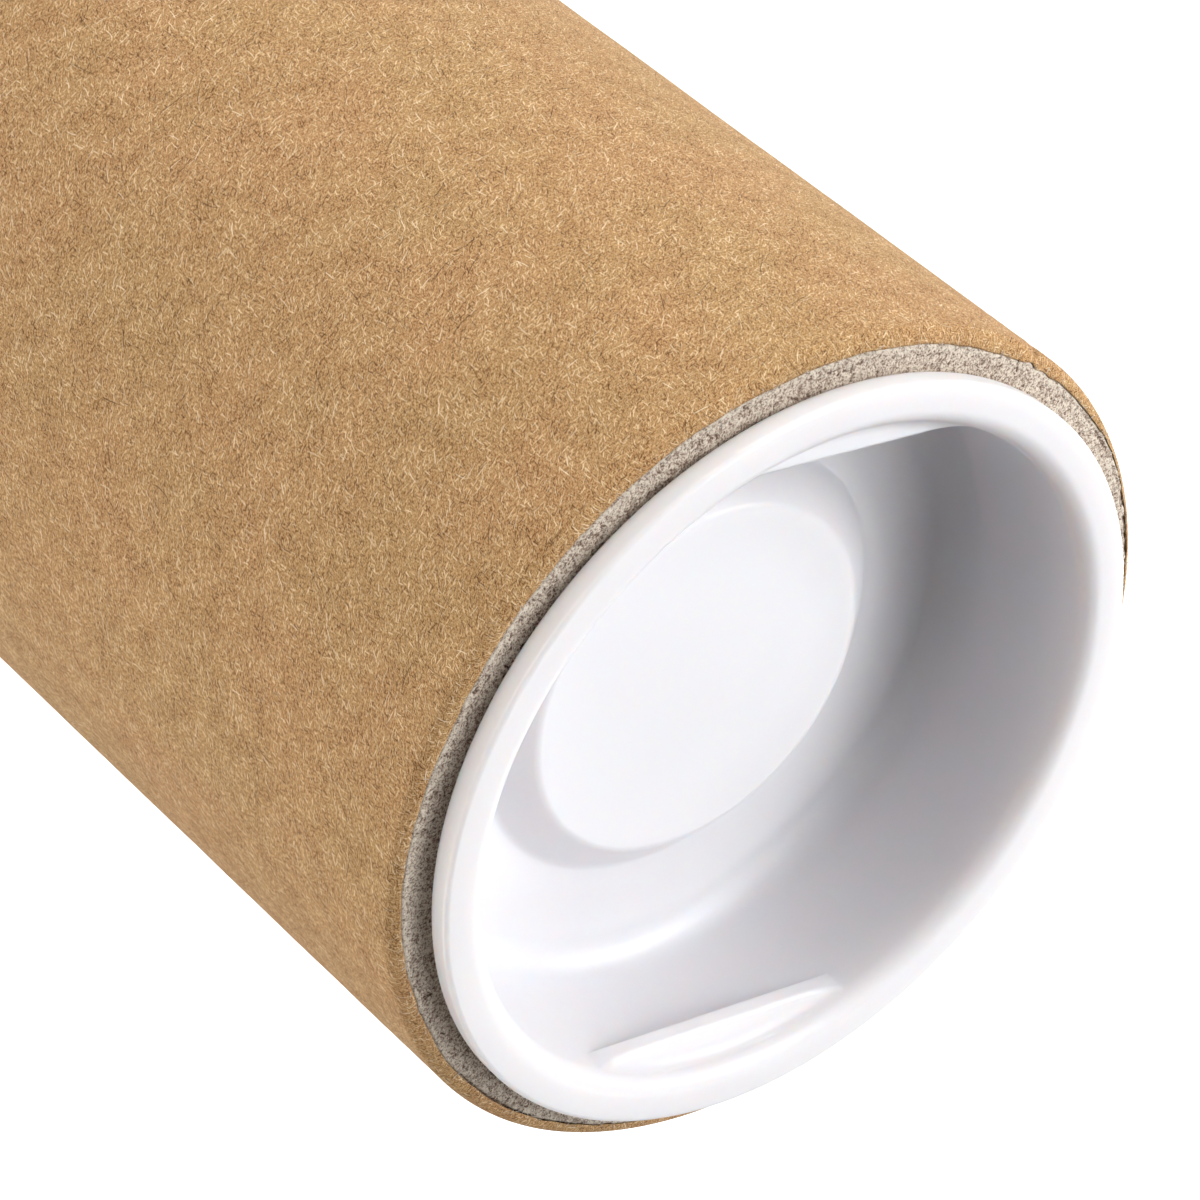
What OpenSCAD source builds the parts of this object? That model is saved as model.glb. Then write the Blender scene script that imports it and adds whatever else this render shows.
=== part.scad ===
// Mailing tube: a wound chipboard tube with a brown paper ply outside,
// closed at each end by a moulded push-in cap.
// Z runs along the tube, which stands on the rim of its lower cap at z = 0.

/* [Tube] */
// Length of the cut tube without its caps
tube_length = 305; // [150:1:900]
// Inside diameter of the tube
tube_bore = 50; // [46:0.5:76]
// Thickness of the whole wall, chipboard and paper together
tube_wall = 4; // [3:0.1:7]
// Thickness of the brown paper ply
paper_ply = 0.4; // [0.2:0.05:0.7]
// Radius to which the outer edge of each cut end is rolled
edge_round = 0.9; // [0.8:0.05:1.6]
// How far the paper reaches in over the cut end, past the rolled edge
paper_turn = 0.1; // [0.05:0.05:0.5]

/* [Cap rim] */
// Height of the rim above the cut end of the tube
rim_height = 2; // [1.8:0.05:3]
// Width of the rim, from its outside to the mouth of the cup
rim_width = 3.15; // [2.8:0.05:4]
// How far the rim reaches over the wall of the tube
rim_overlap = 1.55; // [1.3:0.05:2]
// Rounding of the rim's inner edge, at the mouth of the cup
rim_inner_round = 1.3; // [0.5:0.05:1.4]
// Rounding of the rim's outer edge
rim_outer_round = 0.35; // [0.2:0.05:0.6]
// Rounding under the rim's outside, next to the tube
rim_under_round = 0.9; // [0.3:0.05:1]

/* [Cap cup] */
// Gap between the plug and the bore, on the radius
plug_clearance = 0.05; // [0.02:0.01:0.1]
// Depth of the floor below the cut end of the tube
cup_depth = 10.15; // [8:0.05:20]
// Thickness of the floor
cup_floor = 1.5; // [1:0.1:2.5]
// Draft on the inside of the cup, from the rim to the floor, on the radius
cup_draft = 0.45; // [0.1:0.05:1]
// Radius of the fillet between the cup's wall and its floor
cup_fillet = 2.5; // [1:0.1:3.5]
// How far the plug narrows towards its leading end, on the radius
plug_lead = 0.7; // [0.3:0.1:0.9]
// Length of the narrowing at the plug's leading end
plug_lead_length = 6; // [5:0.5:8]

/* [Cap plateau] */
// Diameter of the raised round in the middle of the floor
plateau_d = 25; // [15:0.5:28]
// Height of the raised round above the floor
plateau_rise = 2.35; // [1.5:0.05:4]
// Width of the sloping shoulder around the raised round
plateau_slope = 2.6; // [2:0.1:4]
// Rounding at the top and at the foot of the shoulder
plateau_round = 0.9; // [0.3:0.1:1.2]

/* [Cap grip webs] */
// Distance from the tube's axis to the straight edge of each web
web_edge = 21.15; // [18:0.05:22]
// Thickness of each web
web_thick = 1.1; // [0.8:0.1:2]
// Depth of the webs below the top of the rim
web_depth = 1.75; // [1.5:0.05:3]

/* [Hidden] */

// Steps along each rounded corner of an outline
arc_steps = 6;
$fn = 96;

bore_r = tube_bore / 2;
tube_r = bore_r + tube_wall;
board_r = tube_r - paper_ply;
paper_inner_round = edge_round - paper_ply;
paper_reach = tube_r - edge_round - paper_turn;

rim_r = bore_r + rim_overlap;
// Where the plug ends inside the rim, below the rounding of the mouth
plug_top = (rim_height - rim_inner_round) / 2;
lower_end = rim_height;
upper_end = lower_end + tube_length;

plug_r = bore_r - plug_clearance;
plug_end = cup_depth + cup_floor;
plug_tip_r = plug_r - plug_lead;
cup_r = rim_r - rim_width;
cup_floor_r = cup_r - cup_draft;
tip_round = cup_fillet + plug_tip_r - cup_floor_r;

plateau_r = plateau_d / 2;
plateau_foot = plateau_r + plateau_slope;
// Where the shoulder's corners lie on the underside, one floor thickness below
underside_shift = cup_floor * tan(atan2(plateau_rise, plateau_slope) / 2);
web_top = rim_height - web_depth;

// Points of the arc that rounds the corner between two sides of an outline
function rounded_corner(before, corner, after, radius) =
    let (
        back = (before - corner) / norm(before - corner),
        ahead = (after - corner) / norm(after - corner),
        half = acos(back * ahead) / 2,
        middle = corner + (back + ahead) / norm(back + ahead) * radius / sin(half),
        first = corner + back * radius / tan(half) - middle,
        last = corner + ahead * radius / tan(half) - middle,
        start = atan2(first.y, first.x),
        sweep = (atan2(last.y, last.x) - start + 540) % 360 - 180
    )
    [
        for (i = [0 : arc_steps])
            let (angle = start + sweep * i / arc_steps)
            middle + radius * [cos(angle), sin(angle)]
    ];

// Points of an outline whose corners are given as [across, up, rounding]
function rounded_outline(corners) =
    let (count = len(corners))
    [
        for (i = [0 : count - 1])
            let (
                before = corners[(i + count - 1) % count],
                corner = corners[i],
                after = corners[(i + 1) % count],
                point = [corner.x, corner.y]
            )
            each corner.z == 0
                ? [point]
                : rounded_corner([before.x, before.y], point, [after.x, after.y], corner.z)
    ];

// Grey wound wall, stepped back at its rolled edges where the paper lies
module chipboard_tube() {
    color("#8d877b")
        rotate_extrude()
            polygon(rounded_outline([
                [bore_r, lower_end, 0],
                [paper_reach, lower_end, 0],
                [paper_reach, lower_end + paper_ply, 0],
                [board_r, lower_end + paper_ply, paper_inner_round],
                [board_r, upper_end - paper_ply, paper_inner_round],
                [paper_reach, upper_end - paper_ply, 0],
                [paper_reach, upper_end, 0],
                [bore_r, upper_end, 0],
            ]));
}

// Brown paper ply around the board, rolled in over both cut ends
module paper_wrap() {
    color("#a98f6e")
        rotate_extrude()
            polygon(rounded_outline([
                [paper_reach, lower_end, 0],
                [tube_r, lower_end, edge_round],
                [tube_r, upper_end, edge_round],
                [paper_reach, upper_end, 0],
                [paper_reach, upper_end - paper_ply, 0],
                [board_r, upper_end - paper_ply, paper_inner_round],
                [board_r, lower_end + paper_ply, paper_inner_round],
                [paper_reach, lower_end + paper_ply, 0],
            ]));
}

// Rim that seats on the cut end, with its widest rounding at the mouth of the cup
module rim_section() {
    polygon(rounded_outline([
        [cup_r, 0, 0],
        [rim_r, 0, rim_under_round],
        [rim_r, rim_height, rim_outer_round],
        [cup_r, rim_height, rim_inner_round],
    ]));
}

// Plug below the rim, still filled, with its narrowed end and the hollow under the plateau
module plug_section() {
    polygon(rounded_outline([
        [0, plug_top, 0],
        [plug_r, plug_top, 0],
        [plug_r, plug_lead_length - plug_end, 0],
        [plug_tip_r, -plug_end, tip_round],
        [plateau_foot - underside_shift, -plug_end, plateau_round],
        [plateau_r - underside_shift, plateau_rise - plug_end, plateau_round],
        [0, plateau_rise - plug_end, 0],
    ]));
}

// Hollow of the cup: drafted wall, filleted floor and the raised plateau
module cup_section() {
    polygon(rounded_outline([
        [0, 2 * rim_height, 0],
        [cup_r, 2 * rim_height, 0],
        [cup_r, 0, 0],
        [cup_floor_r, -cup_depth, cup_fillet],
        [plateau_foot, -cup_depth, plateau_round],
        [plateau_r, plateau_rise - cup_depth, plateau_round],
        [0, plateau_rise - cup_depth, 0],
    ]));
}

// Crescent web across one side of the mouth, which fingers hook under
module grip_web() {
    root_r = (cup_r + plug_r) / 2;
    translate([0, 0, web_top - web_thick])
        linear_extrude(web_thick)
            intersection() {
                circle(r = root_r);
                translate([web_edge, -root_r])
                    square([root_r, 2 * root_r]);
            }
}

// One moulded cap, with the cut end of the tube at z = 0 and its mouth upwards
module cap() {
    color("#f3f2f0")
        union() {
            rotate_extrude()
                difference() {
                    union() {
                        rim_section();
                        plug_section();
                    }
                    cup_section();
                }
            for (side = [0, 180])
                rotate(side)
                    grip_web();
        }
}

module top_cap() {
    translate([0, 0, upper_end])
        cap();
}

module bottom_cap() {
    translate([0, 0, lower_end])
        rotate([180, 0, 0])
            cap();
}

chipboard_tube();
paper_wrap();
top_cap();
bottom_cap();
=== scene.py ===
"""Looks of a mailing tube: brown paper over a wound grey board wall, with a moulded white cap in each end."""

import logging
import math
from dataclasses import dataclass, field
from enum import Enum
from typing import Any

import bmesh
import bpy
import numpy as np
from mathutils import Matrix, Vector


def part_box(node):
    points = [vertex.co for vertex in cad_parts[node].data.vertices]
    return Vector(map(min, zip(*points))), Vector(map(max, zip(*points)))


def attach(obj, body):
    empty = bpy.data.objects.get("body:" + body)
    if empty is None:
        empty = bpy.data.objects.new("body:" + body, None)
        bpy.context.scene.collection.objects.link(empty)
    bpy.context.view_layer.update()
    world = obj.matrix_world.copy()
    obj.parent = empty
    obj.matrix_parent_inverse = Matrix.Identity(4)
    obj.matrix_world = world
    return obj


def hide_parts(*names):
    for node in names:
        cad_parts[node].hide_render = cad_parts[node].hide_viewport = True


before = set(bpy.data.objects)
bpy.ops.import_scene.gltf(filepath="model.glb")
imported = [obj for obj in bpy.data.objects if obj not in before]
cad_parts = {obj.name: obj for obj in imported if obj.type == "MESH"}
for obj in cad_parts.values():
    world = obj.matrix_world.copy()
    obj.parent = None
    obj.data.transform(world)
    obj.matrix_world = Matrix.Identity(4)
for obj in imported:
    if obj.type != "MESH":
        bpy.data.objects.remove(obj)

LOG = logging.getLogger("mailing_tube")
MM = 0.001
# Millimetres between the board's outside and the paper's inside, so that the two faces never show as one.
PLY_GAP = 0.02
TURN = 2 * math.pi
Point = tuple[float, float]
Settings = dict[str, Any]


class TubeEnd(Enum):
    """The two ends of the tube, with the way out of each along Z."""

    TOP = 1
    BOTTOM = -1


def linear(hex_colour: str) -> tuple[float, float, float, float]:
    """Turns an sRGB hex colour into linear light.

    Args:
        hex_colour: Six hex digits, with or without a leading hash.

    Returns:
        Red, green, blue and an alpha of 1.
    """
    digits = hex_colour.lstrip("#")
    shares = [int(digits[i : i + 2], 16) / 255 for i in (0, 2, 4)]
    light = [s / 12.92 if s <= 0.04045 else ((s + 0.055) / 1.055) ** 2.4 for s in shares]
    return light[0], light[1], light[2], 1.0


def add_node(tree: bpy.types.NodeTree, kind: str, settings: Settings | None = None, **inputs: Any) -> Any:
    """Adds a node with its settings, and sets or links its inputs.

    Args:
        tree: The node tree that the node goes into.
        kind: The node's type name.
        settings: Properties of the node by name.
        **inputs: Sockets by name, with spaces as underscores, or by number as in0 and in1.
            A socket is linked and any other value is set.

    Returns:
        The new node.
    """
    node = tree.nodes.new(kind)
    for name, value in (settings or {}).items():
        setattr(node, name, value)
    for name, value in inputs.items():
        if name.startswith("in") and name[2:].isdigit():
            socket = node.inputs[int(name[2:])]
        else:
            socket = node.inputs[name.replace("_", " ")]
        if isinstance(value, bpy.types.NodeSocket):
            tree.links.new(value, socket)
        else:
            socket.default_value = value
    return node


def new_material(name: str) -> tuple[bpy.types.Material, bpy.types.NodeTree]:
    """Makes an empty node material.

    Args:
        name: The material's name.

    Returns:
        The material and its node tree.
    """
    material = bpy.data.materials.new(name)
    material.use_nodes = True
    material.node_tree.nodes.clear()
    return material, material.node_tree


def mesh_object(name: str, points: np.ndarray, faces: list[tuple[int, ...]]) -> bpy.types.Object:
    """Makes a smooth mesh object whose place is in its mesh.

    Args:
        name: The object's name.
        points: Corners in metres, one row each.
        faces: Corner numbers of each face, counter-clockwise seen from outside.

    Returns:
        The object, linked to the scene.
    """
    mesh = bpy.data.meshes.new(name)
    mesh.from_pydata(points.tolist(), [], faces)
    mesh.validate()
    mesh.shade_smooth()
    made = bpy.data.objects.new(name, mesh)
    bpy.context.scene.collection.objects.link(made)
    return made


def applied(piece: bpy.types.Object) -> bpy.types.Object:
    """Turns what a piece's modifiers make into its own plain mesh.

    Args:
        piece: An object with live modifiers.

    Returns:
        The same object, with no modifiers.
    """
    evaluated = piece.evaluated_get(bpy.context.evaluated_depsgraph_get())
    mesh = bpy.data.meshes.new_from_object(evaluated)
    piece.modifiers.clear()
    piece.data = mesh
    return piece


def arc(middle: Point, radius: float, start: float, end: float, steps: int) -> list[Point]:
    """Points along an arc of a section.

    Args:
        middle: The arc's centre.
        radius: Its radius.
        start: The angle at its first point, in degrees.
        end: The angle at its last point, in degrees.
        steps: How many steps lie between them.

    Returns:
        The points, both ends among them.
    """
    angles = [math.radians(start + (end - start) * i / steps) for i in range(steps + 1)]
    return [(middle[0] + radius * math.cos(a), middle[1] + radius * math.sin(a)) for a in angles]


def rounded(corners: list[tuple[float, float, float]], steps: int) -> list[Point]:
    """Rounds the inner corners of an open section.

    Args:
        corners: Corners as across, up and rounding radius.
        steps: How many steps round each corner.

    Returns:
        The points of the section.
    """
    made: list[Point] = []
    last = len(corners) - 1
    for i, (across, up, radius) in enumerate(corners):
        here = Vector((across, up))
        if radius == 0 or i in (0, last):
            made.append((across, up))
            continue
        back = (Vector(corners[i - 1][:2]) - here).normalized()
        ahead = (Vector(corners[i + 1][:2]) - here).normalized()
        half = back.angle(ahead) / 2
        middle = here + (back + ahead).normalized() * radius / math.sin(half)
        first = here + back * radius / math.tan(half) - middle
        final = here + ahead * radius / math.tan(half) - middle
        start = math.degrees(math.atan2(first.y, first.x))
        sweep = (math.degrees(math.atan2(final.y, final.x)) - start + 540) % 360 - 180
        made += arc((middle.x, middle.y), radius, start, start + sweep, steps)
    return made


def felted_noise(shape: tuple[int, int], blur: float, seed: int) -> np.ndarray:
    """Soft noise on a grid that closes on itself, without any lattice showing.

    Args:
        shape: Rows and columns of the grid.
        blur: Size of the noise's grains, in grid steps.
        seed: Seed of the random values.

    Returns:
        Values about 0 with a spread of 1.
    """
    white = np.random.default_rng(seed).standard_normal(shape)
    down = np.fft.fftfreq(shape[0])[:, None]
    along = np.fft.rfftfreq(shape[1])[None, :]
    keep = np.exp(-2 * (math.pi * blur) ** 2 * (down**2 + along**2))
    soft = np.fft.irfft2(np.fft.rfft2(white) * keep, shape)
    return (soft - soft.mean()) / soft.std()


def band_faces(rings: int, columns: int, closed: bool, around: bool = True) -> list[tuple[int, ...]]:
    """Faces of a grid of rings.

    Args:
        rings: How many rings the grid has.
        columns: How many points each ring has.
        closed: Whether the last ring joins the first.
        around: Whether each ring closes on itself.

    Returns:
        Corner numbers of each quad.
    """
    grid = np.arange(rings * columns).reshape(rings, columns)
    upper = np.roll(grid, -1, axis=0)
    quads = np.stack([grid, np.roll(grid, -1, axis=1), np.roll(upper, -1, axis=1), upper], axis=-1)
    quads = quads[: rings if closed else rings - 1, : columns if around else columns - 1]
    return [tuple(q) for q in quads.reshape(-1, 4).tolist()]


def turned(radii: np.ndarray, angles: np.ndarray, heights: np.ndarray) -> np.ndarray:
    """Places points given round the tube's axis.

    Args:
        radii: Distances from the axis.
        angles: Turns about the axis, in radians.
        heights: Heights along the axis.

    Returns:
        Points with a last axis of three.
    """
    radii, angles, heights = np.broadcast_arrays(radii, angles, heights)
    return np.stack([radii * np.cos(angles), radii * np.sin(angles), heights], axis=-1)


def degrees_off(angles: np.ndarray, side: float) -> np.ndarray:
    """How far angles lie from one side of the tube, the short way round.

    Args:
        angles: Turns about the axis, in radians.
        side: The side's angle, in degrees.

    Returns:
        Degrees from -180 to 180.
    """
    return np.degrees(np.angle(np.exp(1j * (angles - math.radians(side)))))


@dataclass(frozen=True)
class Strokes:
    """One layer of single fibres in the face of the paper. Sizes are in millimetres.

    Each cell of the layer holds one fibre at most, and share is how many do. Curl is the bow of a fibre as a
    share of its cell.
    """

    cell: float
    width: float
    share: float
    tone: str
    pale: bool = True
    curl: float = 0.15

    def mark(self, tree: bpy.types.NodeTree, place: bpy.types.NodeSocket) -> bpy.types.NodeSocket:
        """Adds nodes that draw the layer: one curved stroke in a cell, leaning at random.

        Args:
            tree: The node tree that the nodes go into.
            place: The place on the paper, in metres.

        Returns:
            A socket with 1 on a fibre and 0 beside it.
        """
        cell = self.cell * MM
        width = self.width * MM
        bow = self.curl / cell
        spot = add_node(tree, "ShaderNodeTexVoronoi", {"voronoi_dimensions": "2D"}, Vector=place,
                        Scale=1 / cell)
        local = add_node(tree, "ShaderNodeVectorMath", {"operation": "SUBTRACT"}, in0=place,
                         in1=spot.outputs["Position"])
        chance = add_node(tree, "ShaderNodeSeparateColor", None, Color=spot.outputs["Color"]).outputs
        lean = add_node(tree, "ShaderNodeMapRange", None, Value=chance[0], To_Min=-1.0, To_Max=1.0)
        laid = add_node(tree, "ShaderNodeVectorRotate", {"rotation_type": "Z_AXIS"}, Vector=local.outputs[0],
                        Angle=lean.outputs[0])
        axis = add_node(tree, "ShaderNodeSeparateXYZ", None, Vector=laid.outputs[0]).outputs
        along = add_node(tree, "ShaderNodeMath", {"operation": "MULTIPLY"}, in0=axis[0],
                         in1=axis[0]).outputs[0]
        bend = add_node(tree, "ShaderNodeMapRange", None, Value=chance[1], To_Min=-bow, To_Max=bow)
        across = add_node(tree, "ShaderNodeMath", {"operation": "MULTIPLY_ADD"}, in0=along,
                          in1=bend.outputs[0], in2=axis[1])
        off = add_node(tree, "ShaderNodeMath", {"operation": "ABSOLUTE"}, in0=across.outputs[0])

        # A stroke is soft across and fades out before the edge of its cell.
        line = add_node(tree, "ShaderNodeMapRange", {"interpolation_type": "SMOOTHSTEP"},
                        Value=off.outputs[0], From_Min=width, From_Max=0.25 * width)
        there = add_node(tree, "ShaderNodeMapRange", None, Value=chance[2], From_Min=self.share,
                         From_Max=0.3 * self.share)
        reach = add_node(tree, "ShaderNodeMapRange", None, Value=along, From_Min=(0.5 * cell) ** 2,
                         From_Max=(0.3 * cell) ** 2)
        mark = line.outputs[0]
        for share in (there, reach):
            mark = add_node(tree, "ShaderNodeMath", {"operation": "MULTIPLY"}, in0=mark,
                            in1=share.outputs[0]).outputs[0]
        return mark


@dataclass(frozen=True)
class BrownPaper:
    """Unbleached machine-made paper: matt and cloudy, with each fibre of its felt showing pale or dark.

    Real pulp fibres are about 0.03 mm wide, too fine to show in the render, so the felt and the strokes are
    drawn about a third wider.
    """

    uv_map: str = "winding"
    cloud_low: str = "#a77234"
    cloud_high: str = "#d19f65"
    reddish: str = "#bd8a60"
    olive: str = "#a98d5b"
    pale: str = "#dfba87"
    dark: str = "#774718"
    sheen: str = "#f4e6d0"
    cloud_mm: float = 2.2
    tint_mm: float = 11.0
    tint_share: float = 0.42
    felt_length_mm: float = 0.2
    felt_width_mm: float = 0.04
    felt_leans: tuple[float, float] = (-27.0, 33.0)
    felt_share: float = 0.7
    wander_mm: float = 0.6
    wander_reach_mm: float = 0.07
    relief_mm: float = 0.03
    sparse: float = 0.4
    dense: float = 1.2
    layer_shift: tuple[float, float] = (0.137, 0.071)
    strokes: tuple[Strokes, ...] = (
        Strokes(cell=0.36, width=0.04, share=0.95, tone="#61380f", pale=False),
        Strokes(cell=0.36, width=0.04, share=0.95, tone="#f0d3a5"),
        Strokes(cell=0.55, width=0.041, share=0.8, tone="#552f0c", pale=False),
        Strokes(cell=0.54, width=0.041, share=0.8, tone="#f4deb8"),
        Strokes(cell=1.1, width=0.04, share=0.3, tone="#f5e4c4", curl=0.35),
        Strokes(cell=2.2, width=0.036, share=0.35, tone="#4a2f16", pale=False, curl=0.45),
    )

    def felt(self, tree: bpy.types.NodeTree, place: bpy.types.NodeSocket) -> list[bpy.types.NodeSocket]:
        """Adds the felt: two families of short fibres that cross, bent by a slow wander.

        Args:
            tree: The node tree that the nodes go into.
            place: The place on the paper, in metres.

        Returns:
            A socket for each family, with its noise about 0.5.
        """
        flat = {"noise_dimensions": "2D"}
        wander = add_node(tree, "ShaderNodeTexNoise", flat, Vector=place, Scale=1 / (self.wander_mm * MM),
                          Detail=0.0)
        bend = add_node(tree, "ShaderNodeVectorMath", {"operation": "MULTIPLY_ADD"},
                        in0=wander.outputs["Color"], in1=(self.wander_reach_mm * MM,) * 3, in2=place)
        families = []
        for lean in self.felt_leans:
            laid = add_node(tree, "ShaderNodeMapping", {"vector_type": "TEXTURE"}, Vector=bend.outputs[0],
                            Rotation=(0.0, 0.0, math.radians(lean)),
                            Scale=(self.felt_length_mm * MM, self.felt_width_mm * MM, 1.0))
            families.append(add_node(tree, "ShaderNodeTexNoise", flat, Vector=laid.outputs[0], Scale=1.0,
                                     Detail=0.0).outputs["Fac"])
        return families

    def pulp(self, tree: bpy.types.NodeTree, place: bpy.types.NodeSocket,
             cloud: bpy.types.NodeSocket) -> bpy.types.NodeSocket:
        """Adds the colour under the fibres: clouds of pulp that drift from reddish to olive.

        Args:
            tree: The node tree that the nodes go into.
            place: The place on the paper, in metres.
            cloud: How thick the pulp is, from 0 to 1.

        Returns:
            The colour's socket.
        """
        tint = add_node(tree, "ShaderNodeTexNoise", {"noise_dimensions": "2D"}, Vector=place,
                        Scale=1 / (self.tint_mm * MM), Detail=3.0)
        tint = add_node(tree, "ShaderNodeMapRange", None, Value=tint.outputs["Fac"], From_Min=0.35,
                        From_Max=0.65)
        colour = add_node(tree, "ShaderNodeMix", {"data_type": "RGBA"}, Factor=cloud,
                          in6=linear(self.cloud_low), in7=linear(self.cloud_high)).outputs[2]
        hue = add_node(tree, "ShaderNodeMix", {"data_type": "RGBA"}, Factor=tint.outputs[0],
                       in6=linear(self.olive), in7=linear(self.reddish)).outputs[2]
        return add_node(tree, "ShaderNodeMix", {"data_type": "RGBA"}, Factor=self.tint_share, in6=colour,
                        in7=hue).outputs[2]

    def material(self) -> bpy.types.Material:
        """Makes the paper's material.

        Returns:
            The material, patterned on the winding's own UV map in metres.
        """
        made, tree = new_material("unbleached_brown_paper")
        place = add_node(tree, "ShaderNodeUVMap", {"uv_map": self.uv_map}).outputs["UV"]
        cloud = add_node(tree, "ShaderNodeTexNoise", {"noise_dimensions": "2D"}, Vector=place,
                         Scale=1 / (self.cloud_mm * MM), Detail=4.0, Roughness=0.62).outputs["Fac"]
        cloud = add_node(tree, "ShaderNodeMapRange", None, Value=cloud, From_Min=0.32,
                         From_Max=0.68).outputs[0]
        colour = self.pulp(tree, place, cloud)

        first, second = self.felt(tree, place)
        for pick, full, tone in (("MINIMUM", 0.3, self.dark), ("MAXIMUM", 0.7, self.pale)):
            picked = add_node(tree, "ShaderNodeMath", {"operation": pick}, in0=first, in1=second)
            shown = add_node(tree, "ShaderNodeMapRange", {"interpolation_type": "SMOOTHSTEP"},
                             Value=picked.outputs[0], From_Min=0.5, From_Max=full, To_Max=self.felt_share)
            colour = add_node(tree, "ShaderNodeMix", {"data_type": "RGBA"}, Factor=shown.outputs[0],
                              in6=colour, in7=linear(tone)).outputs[2]

        # Single pale fibres gather where the pulp is thick, and dark ones where it is thin.
        thick = add_node(tree, "ShaderNodeMapRange", None, Value=cloud, To_Min=self.sparse, To_Max=self.dense)
        thin = add_node(tree, "ShaderNodeMapRange", None, Value=cloud, To_Min=self.dense, To_Max=self.sparse)
        for number, layer in enumerate(self.strokes):
            shift = (number * self.layer_shift[0], number * self.layer_shift[1], 0.0)
            shifted = add_node(tree, "ShaderNodeVectorMath", {"operation": "ADD"}, in0=place, in1=shift)
            mark = add_node(tree, "ShaderNodeMath", {"operation": "MULTIPLY"},
                            in0=layer.mark(tree, shifted.outputs[0]),
                            in1=thick.outputs[0] if layer.pale else thin.outputs[0])
            colour = add_node(tree, "ShaderNodeMix", {"data_type": "RGBA"}, Factor=mark.outputs[0],
                              in6=colour, in7=linear(layer.tone)).outputs[2]

        height = add_node(tree, "ShaderNodeMath", {"operation": "ADD"}, in0=first, in1=second)
        bump = add_node(tree, "ShaderNodeBump", None, Height=height.outputs[0], Strength=0.6,
                        Distance=self.relief_mm * MM)
        shader = add_node(tree, "ShaderNodeBsdfPrincipled", None, Base_Color=colour, Roughness=0.8, IOR=1.45,
                          Specular_IOR_Level=0.35, Sheen_Weight=0.03, Sheen_Roughness=0.4,
                          Sheen_Tint=linear(self.sheen), Normal=bump.outputs[0])
        add_node(tree, "ShaderNodeOutputMaterial", None, Surface=shader.outputs[0])
        return made


@dataclass(frozen=True)
class GreyBoard:
    """Wound grey board from waste paper: where it is cut, a fine grain of pale flecks, and pits painted dark
    as shade.

    Real flecks go down to single fibres, too fine to show in the render, so the grain is drawn coarser.
    """

    grain_and_shade: str = "grain_and_shade"
    body: str = "#c6b6a5"
    pale: str = "#e4d9c8"
    dark: str = "#947f70"
    # The darkest colour, for the deepest flecks and for painted shade in pits and gaps.
    pit_shade: str = "#5f4a40"
    fleck_mm: float = 0.15
    contrast: float = 2.0
    relief_mm: float = 0.07

    def material(self) -> bpy.types.Material:
        """Makes the cut board's material.

        Returns:
            The material, patterned on Object coordinates and the cut ends' attribute of grain and painted
            shade.
        """
        made, tree = new_material("cut_grey_board")
        place = add_node(tree, "ShaderNodeTexCoord").outputs["Object"]
        grain_and_shade = add_node(tree, "ShaderNodeAttribute", {"attribute_name": self.grain_and_shade}).outputs["Fac"]
        fleck = add_node(tree, "ShaderNodeTexNoise", None, Vector=place, Scale=1 / (self.fleck_mm * MM),
                         Detail=2.0, Roughness=0.7, Distortion=0.3).outputs["Fac"]
        mixed = add_node(tree, "ShaderNodeMath", {"operation": "MULTIPLY_ADD"}, in0=fleck, in1=self.contrast,
                         in2=grain_and_shade)
        mixed = add_node(tree, "ShaderNodeMath", {"operation": "SUBTRACT"}, in0=mixed.outputs[0],
                         in1=0.5 * self.contrast).outputs[0]
        # Low values, in the pits and gaps, take the darkest colour as painted shade.
        tone = add_node(tree, "ShaderNodeValToRGB", None, Fac=mixed)
        stops = tone.color_ramp.elements
        stops[0].position = 0.08
        stops[0].color = linear(self.pit_shade)
        stops[1].position = 0.7
        stops[1].color = linear(self.pale)
        for position, colour in ((0.32, self.dark), (0.5, self.body)):
            stops.new(position).color = linear(colour)
        bump = add_node(tree, "ShaderNodeBump", None, Height=fleck, Strength=0.6,
                        Distance=self.relief_mm * MM)
        shader = add_node(tree, "ShaderNodeBsdfPrincipled", None, Base_Color=tone.outputs["Color"],
                          Roughness=0.93, Specular_IOR_Level=0.15, Normal=bump.outputs[0])
        add_node(tree, "ShaderNodeOutputMaterial", None, Surface=shader.outputs[0])
        return made


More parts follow.
